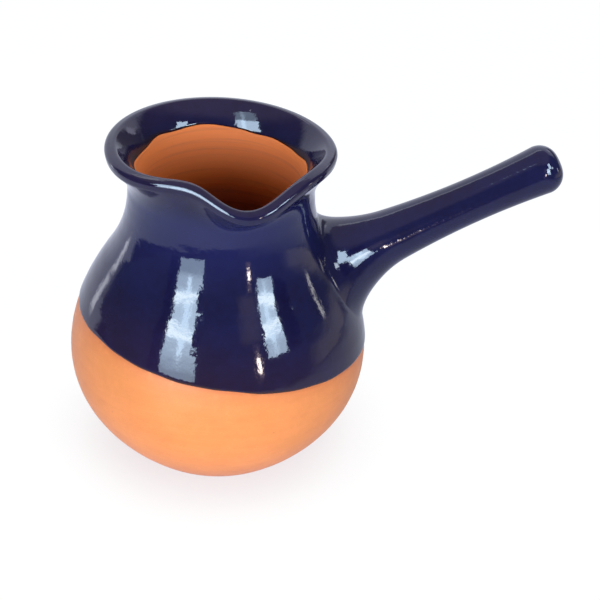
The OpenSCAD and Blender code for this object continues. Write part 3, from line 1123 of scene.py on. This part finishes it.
def patch(name, azimuths, elevations, distance, material):
    """Part of a ball round the pot, between two azimuths and two elevations, that only mirrors see."""
    columns, rows = WIDE_GRIDS.get(name, CARD_GRID)
    middle = np.array([0.0, 0.0, SOLID_BOX[1][2] * CARD_MIDDLE])
    points = [
        tuple(middle + distance * toward(az, el))
        for el in np.linspace(*elevations, rows + 1) for az in np.linspace(*azimuths, columns + 1)
    ]
    wide = columns + 1
    faces = [
        (r * wide + c, r * wide + c + 1, (r + 1) * wide + c + 1, (r + 1) * wide + c)
        for r in range(rows) for c in range(columns)
    ]
    made = add_mesh(name, points, faces)
    spread = made.data.uv_layers.new(name="spread")
    for loop in made.data.loops:
        r, c = divmod(loop.vertex_index, wide)
        spread.data[loop.index].uv = (c / columns, r / rows)
    made.data.materials.append(material)
    made.visible_camera = False
    made.visible_diffuse = False
    made.visible_shadow = False


def soft_card(name, tone, fades):
    """Material of an even card whose sides fade out: left, right, low and high share of it that fades."""
    material, wire = start_material(name)
    u, v, _ = wire.node("ShaderNodeTexCoord", out="UV").parts()
    left, right, low, high = fades
    shown = u.step(0, left) * u.step(1, 1 - right) * v.step(0, low) * v.step(1, 1 - high)
    card = wire.node("ShaderNodeEmission", sockets={"Color": (*tone, 1.0), "Strength": 1.0})
    clear = wire.node("ShaderNodeBsdfTransparent")
    surface(wire, shown.blend(clear, card))
    return material


def ray_kinds(wire):
    """Whether light goes to the camera, and whether it goes to mirrors or glass."""
    outputs = wire.node("ShaderNodeLightPath").socket.node.outputs
    camera, glossy, clear = [
        Wire(wire.tree, outputs[name]) for name in ("Is Camera Ray", "Is Glossy Ray", "Is Transmission Ray")
    ]
    return camera, glossy.top(clear)


# Tones of the world and of the floor, as they are seen and as mirrors show them
WHITE = 1.0, 1.0, 1.0, 1.0
COOL = 0.93, 0.97, 1.17, 1.0
FLOOR_PAPER = 0.97, 0.97, 0.97, 1.0
FLOOR_SEEN = 1.035, 1.05, 1.055, 1.0
# Painted shadow: the floor's seen tone where ambient occlusion by the pot darkens it
FLOOR_PAINTED_SHADE = 0.89, 0.85, 0.875, 1.0
FLOOR_LEFT = 0.66, 0.72, 0.90, 1.0
FLOOR_RIGHT = 0.48, 0.51, 0.63, 1.0
FLOOR_BEHIND = 0.95, 0.98, 1.15, 1.0
FLOOR_DARK = 0.05, 0.045, 0.06, 1.0

# Sides of the floor, way round to its farthest point from straight behind the pot, and its end in front
# as a share of its reach there
FLOOR_SIDES = 180
FLOOR_SKEW = 0.12
FLOOR_END = 1.4

# Shares of that reach where mirrors show the floor fade and gone, at the left and at the right
FADE_START = 0.95, 0.55
FADE_GONE = 1.07, 1.57

# Share of the floor that is seen in its own tone and not in the lamps' light
SEEN_SHARE = 0.86

# Tones of the window panes, away from the bright bar and on it
PANE = 0.62, 0.81, 1.0, 1.0
PANE_BAR = 0.88, 1.03, 1.12, 1.0

# Brightness at the sill, and how much brighter that bar is
SILL_LEVEL = 0.30
BAR_LEVEL = 1.3

# Middle and half width of the bar, half width of the upright, softness of jambs, pane and head, in degrees
BAR = 20.2, 1.8
UPRIGHT_HALF = 2.0
JAMB_SOFT = 0.8
PANE_SOFT = 2.0
HEAD_SOFT = 1.5

# Columns and rows of the cards, and share of the pot's height at which their ball has its middle
CARD_GRID = 24, 16
WIDE_GRIDS = {"dark_front": (48, 24), "ceiling": (64, 16)}
CARD_MIDDLE = 0.6

# Cards that the glaze mirrors: tone, share that fades out at the left, right, low and high side, azimuths
# and elevations in degrees, and the distance as a share of the room's size or of the way to the windows
CARDS = {
    "dark_front": ((0.09, 0.105, 0.14), (0.05, 0.05, 0.02, 0.16), (-130, 120), (-30, 58), "room_size", 1.0),
    "ceiling": ((0.40, 0.36, 0.43), (0.001, 0.001, 0.12, 0.001), (-180, 180), (44, 90), "room_size", 1.05),
    "dark_side": ((0.17, 0.17, 0.18), (0.01, 0.25, 0.15, 0.3), (112, 152), (2, 26), "room_size", 1.0),
    "far_pane": ((1.5, 1.5, 1.9), (0.2, 0.2, 0.2, 0.2), (121, 134), (23, 31), "window_far", 1.0),
    "backdrop_top": ((1.9, 1.95, 2.2), (0.2, 0.2, 0.35, 0.35), (150, 215), (43, 53), "room_size", 1.0),
    "side_pane": ((9.0, 10.5, 12.0), (0.1, 0.1, 0.1, 0.1), (60.5, 67), (21, 27), "window_far", 1.0),
    "small_lamp": ((42.0, 36.0, 33.0), (0.4, 0.4, 0.35, 0.4), (19.8, 24.4), (1.5, 12.5), "window_far", 0.9),
    "lamp_glow": ((2.2, 1.6, 1.5), (0.4, 0.4, 0.4, 0.4), (18.5, 25.7), (-5, 17), "window_far", 0.95),
    "room_corner": ((0.55, 0.47, 0.47), (0.45, 0.3, 0.4, 0.4), (7, 31), (14, 36), "window_far", 1.1),
    "door_edge": ((5.2, 5.1, 5.0), (0.45, 0.45, 0.5, 0.1), (83.5, 89), (1, 13), "window_far", 1.0),
    "backdrop_edge": ((3.2, 3.3, 3.7), (0.4, 0.4, 0.3, 0.2), (-128, -119.5), (-13, 3), "window_far", 0.7),
    "side_wall": ((0.62, 0.58, 0.56), (0.3, 0.2, 0.1, 0.5), (58, 112), (-12, 6), "window_far", 1.1),
}

# Windows: azimuths, elevations, azimuths of three posts, elevations where the outer pane and the wall above
# start, and how much brighter the upright is
WINDOWS = {
    "window_left": ((-60, -24), (-4, 66), (-28.5, -37, -49.5), (28, 80), 1.2),
    "window_right": ((30, 60), (8, 43), (30, 37, 45.5), (25, 30), 0.5),
}


class SetStage(bpy.types.Operator):
    """Sets the pot on a pale floor in soft light, with two windows behind the camera"""

    bl_idname = "claypot.set_stage"
    bl_label = "Set the stage"

    def execute(self, context):
        stage = context.scene.pot_stage
        context.scene.view_settings.view_transform = "Standard"
        self.camera(context.scene, stage)
        self.world(context.scene, stage)
        self.floor(stage)
        self.room(stage)
        self.lamps(stage)
        return {"FINISHED"}

    def camera(self, scene, stage):
        """Camera at the picture's own angle."""
        az, el = math.degrees(stage.azimuth), math.degrees(stage.elevation)
        lens = bpy.data.cameras.new("camera")
        lens.lens = stage.lens
        lens.sensor_width = 36.0
        lens.clip_start = 0.01
        made = bpy.data.objects.new("camera", lens)
        place = np.array(stage.aim) + stage.distance * toward(az, el)
        made.matrix_world = facing(az, el, place) @ Matrix.Rotation(stage.roll, 4, "Z")
        scene.collection.objects.link(made)
        scene.camera = made

    def world(self, scene, stage):
        """White all around where it is seen, and a soft even light."""
        world = bpy.data.worlds.new("white_room")
        world.use_nodes = True
        world.node_tree.nodes.clear()
        scene.world = world
        wire = Wire(world.node_tree)
        camera, mirrored = ray_kinds(wire)
        kinds = [(WHITE, stage.world_level), (COOL, 1.0), (WHITE, 1.0)]
        even, glass, seen = [
            wire.node("ShaderNodeBackground", sockets={"Color": tone, "Strength": level})
            for tone, level in kinds
        ]
        around = camera.blend(mirrored.blend(even, glass), seen)
        wire.node("ShaderNodeOutputWorld", sockets={"Surface": around})

    def floor(self, stage):
        """Pale floor that keeps the pot's shadow, partly cast by the lamps and partly painted from ambient
        occlusion near the pot. Towards the dark side of the room it fades in mirrors.
        """
        outline = []
        for turn in turns(FLOOR_SIDES):
            behind = float(smooth(0.5 + 0.9 * math.sin(turn - FLOOR_SKEW))) ** 3
            reach = mix(FLOOR_END * stage.floor_front, stage.floor_back, behind)
            outline.append((reach * math.cos(turn), reach * math.sin(turn), 0.0))
        made = add_mesh("floor", outline, [list(range(len(outline)))])
        made.location.z = SOLID_BOX[0][2] - 0.05 * MILLIMETRE
        material, wire = start_material("pale_floor")
        camera, mirrored = ray_kinds(wire)
        x, y, _ = wire.place().parts()
        away = (x * x + y * y) ** 0.5
        right = x.step(0.0, 0.2)
        start = stage.floor_front * mix(*FADE_START, right)
        gone = stage.floor_front * mix(*FADE_GONE, right)
        lit = away.step(gone, start).top((y / away).step(0.34, 0.42))
        front = x.step(-0.15, 0.15).tint(FLOOR_LEFT, FLOOR_RIGHT)
        near = y.step(-0.05, 0.2, most=0.5).tint(front, FLOOR_BEHIND)
        tone = lit.tint(FLOOR_DARK, near)
        reach = {"Distance": stage.shade_reach}
        # Painted shadow: the floor's seen tone is painted darker where the pot's ambient occlusion reaches
        # it
        open_share = wire.node("ShaderNodeAmbientOcclusion", {"samples": 16}, reach, out="AO")
        shade = open_share.step(0.15, 0.8).tint(FLOOR_PAINTED_SHADE, FLOOR_SEEN)
        tone = camera.tint(tone, shade)
        paper = wire.node("ShaderNodeBsdfDiffuse", sockets={"Color": FLOOR_PAPER})
        surface(wire, (camera * SEEN_SHARE + mirrored).blend(paper, tone.glow()))
        made.data.materials.append(material)

    def room(self, stage):
        """Dark room, two bright windows and some small bright things, as the glaze mirrors them."""
        for name, (tone, fades, azimuths, elevations, base, share) in CARDS.items():
            patch(name, azimuths, elevations, share * getattr(stage, base), soft_card(name, tone, fades))
        for name, (azimuths, elevations, *rest) in WINDOWS.items():
            glass = self.window(stage, name, azimuths, elevations, *rest)
            patch(name, azimuths, elevations, stage.window_far, glass)

    def window(self, stage, name, azimuths, elevations, posts, heights, shine):
        """Daylight through a curtain: dim at the sill, brighter above, with a bright bar and upright.

        The posts are the inner jamb, the upright and the outer jamb. Beyond the outer jamb there is only a
        high pane, and inside the inner one only what shows below and far above the bar.
        """
        material, wire = start_material(name)
        u, v, _ = wire.node("ShaderNodeTexCoord", out="UV").parts()
        az = mix(*azimuths, u)
        el = mix(*elevations, v)
        inner, upright, outer = posts
        pane_low, head = heights
        bar = hump(el, *BAR)
        level = SILL_LEVEL + el.step(1, 10, most=0.22) + el.step(11, 18, most=0.2) + BAR_LEVEL * bar
        level = level * (1 + shine * hump(az, upright, UPRIGHT_HALF) * el.step(3, 15))
        level = level * (1 - el.step(52, 55, most=0.75))
        off = math.copysign(1.0, outer) * az
        past = off.step(abs(outer), abs(outer) + JAMB_SOFT)
        beyond = past * el.step(pane_low + PANE_SOFT, pane_low)
        inside = off.step(abs(inner), abs(inner) - JAMB_SOFT) * el.step(14, 15) * el.step(30, 29)
        above = el.step(head, head + HEAD_SOFT) * (1 - past)
        level = level * (1 - beyond) * (1 - inside) * (1 - above)
        tone = level.tint((0.0, 0.0, 0.0, 1.0), bar.tint(PANE, PANE_BAR))
        surface(wire, tone.glow(stage.window_level))
        return material

    def lamps(self, stage):
        """Soft lamps where the windows are, one overhead, and a weak one for the floor's own light.

        Each has an azimuth and an elevation in degrees, a distance and a size in metres, and a power.
        """
        places = [
            ("lamp_left", -27, 14, 1.2, 0.75, stage.key_power),
            ("lamp_right", 40, 26, 1.2, 0.6, stage.key_power * 0.36),
            ("lamp_top", 170, 80, 1.2, 1.2, stage.top_power),
            ("lamp_low", -9, -8, 0.17, 0.06, stage.low_power),
        ]
        for name, azimuth, elevation, distance, size, power in places:
            lamp = bpy.data.lights.new(name, "AREA")
            lamp.shape = "DISK"
            lamp.size = size
            lamp.energy = power
            made = bpy.data.objects.new(name, lamp)
            place = distance * toward(azimuth, elevation) + np.array([0.0, 0.0, SOLID_BOX[1][2] / 2])
            made.matrix_world = facing(azimuth, elevation, place)
            made.visible_glossy = False
            made.visible_camera = False
            bpy.context.scene.collection.objects.link(made)


# Panel and registration

GROUPS = {
    "pot_body": PotBody, "pot_lip": PotLip, "pot_handle": PotHandle, "pot_glaze": PotGlaze,
    "pot_colours": PotColours, "pot_stage": PotStage,
}
MAKERS = (ThrowBody, ThrowHandle, SpreadSlip, DipBody, DipHandle, PourLiner, SetStage)


class PotPanel(bpy.types.Panel):
    """Steps that make the pot, and its sizes and colours"""

    bl_idname = "VIEW3D_PT_clay_pot"
    bl_label = "Clay coffee pot"
    bl_space_type = "VIEW_3D"
    bl_region_type = "UI"
    bl_category = "Clay pot"

    def draw(self, context):
        for maker in MAKERS:
            self.layout.operator(maker.bl_idname)
        for name, group in GROUPS.items():
            box = self.layout.box()
            box.label(text=group.__doc__)
            for size in group.__annotations__:
                box.prop(getattr(context.scene, name), size)


def register():
    for name, group in GROUPS.items():
        bpy.utils.register_class(group)
        setattr(bpy.types.Scene, name, bpy.props.PointerProperty(type=group))
    for maker in MAKERS:
        bpy.utils.register_class(maker)
    bpy.utils.register_class(PotPanel)


def unregister():
    bpy.utils.unregister_class(PotPanel)
    for maker in reversed(MAKERS):
        bpy.utils.unregister_class(maker)
    for name, group in reversed(list(GROUPS.items())):
        delattr(bpy.types.Scene, name)
        bpy.utils.unregister_class(group)


def main():
    """Makes every piece and the stage."""
    register()
    bpy.ops.claypot.throw_body()
    bpy.ops.claypot.throw_handle()
    bpy.ops.claypot.spread_slip()
    bpy.ops.claypot.dip_body()
    bpy.ops.claypot.dip_handle()
    bpy.ops.claypot.pour_liner()
    bpy.ops.claypot.set_stage()
    bpy.context.view_layer.update()


if __name__ == "__main__":
    main()
